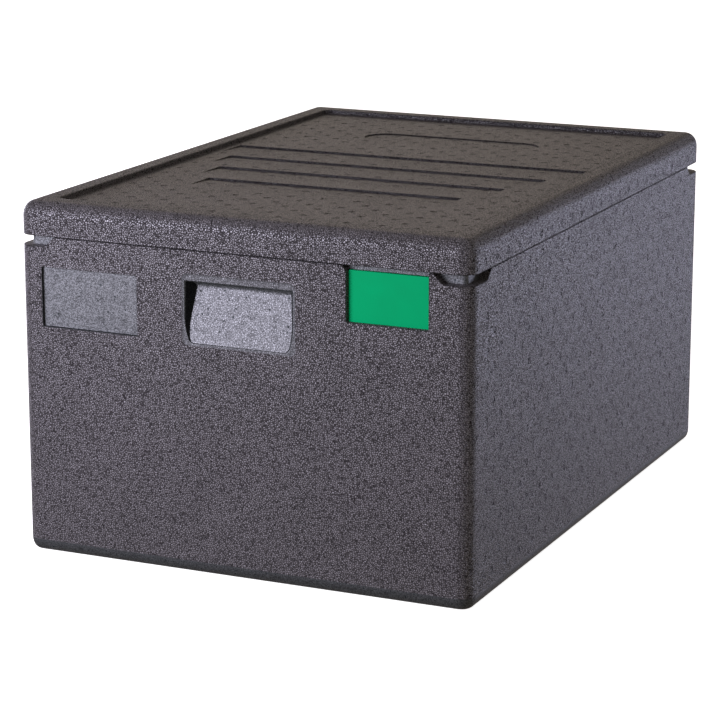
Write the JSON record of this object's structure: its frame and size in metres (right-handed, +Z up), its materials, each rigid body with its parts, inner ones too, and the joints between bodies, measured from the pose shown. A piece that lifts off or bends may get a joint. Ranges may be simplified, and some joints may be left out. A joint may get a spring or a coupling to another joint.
{
  "type": "insulated food carrier",
  "caption": "Top-loading insulated food box of moulded bead foam with a lift-off lid, end hand grips, a blank label recess and a coloured identification card at each end.",
  "frame": {"origin": "bottom centre of the base, on the surface that the carrier stands on", "axes": "+Z up; +Y along the long side, away from the front end; -Y is the short end with the front identification card; +X to the right seen from the front"},
  "size_m": [0.485, 0.685, 0.36],
  "materials": {
    "foam_tub": "moulded bead foam, charcoal grey, fused beads with steam-vent marks, matt",
    "foam_lid": "moulded bead foam, charcoal grey, fused beads with steam-vent marks, matt",
    "card_green": "smooth green moulded plastic, satin"
  },
  "bodies": {
    "tub": {"tub": "foam_tub"},
    "lid": {"lid": "foam_lid"},
    "front_card": {"front_id_card": "card_green"},
    "rear_card": {"rear_id_card": "card_green"}
  },
  "joints": [
    {"name": "lid_lift", "type": "slide", "parent": "tub", "child": "lid", "axis": [0, 0, 1], "range_m": [0, 0.42]},
    {"name": "front_card_pull", "type": "slide", "parent": "tub", "child": "front_card", "axis": [0, -1, 0], "range_m": [0, 0.04]},
    {"name": "rear_card_pull", "type": "slide", "parent": "tub", "child": "rear_card", "axis": [0, 1, 0], "range_m": [0, 0.04]}
  ]
}
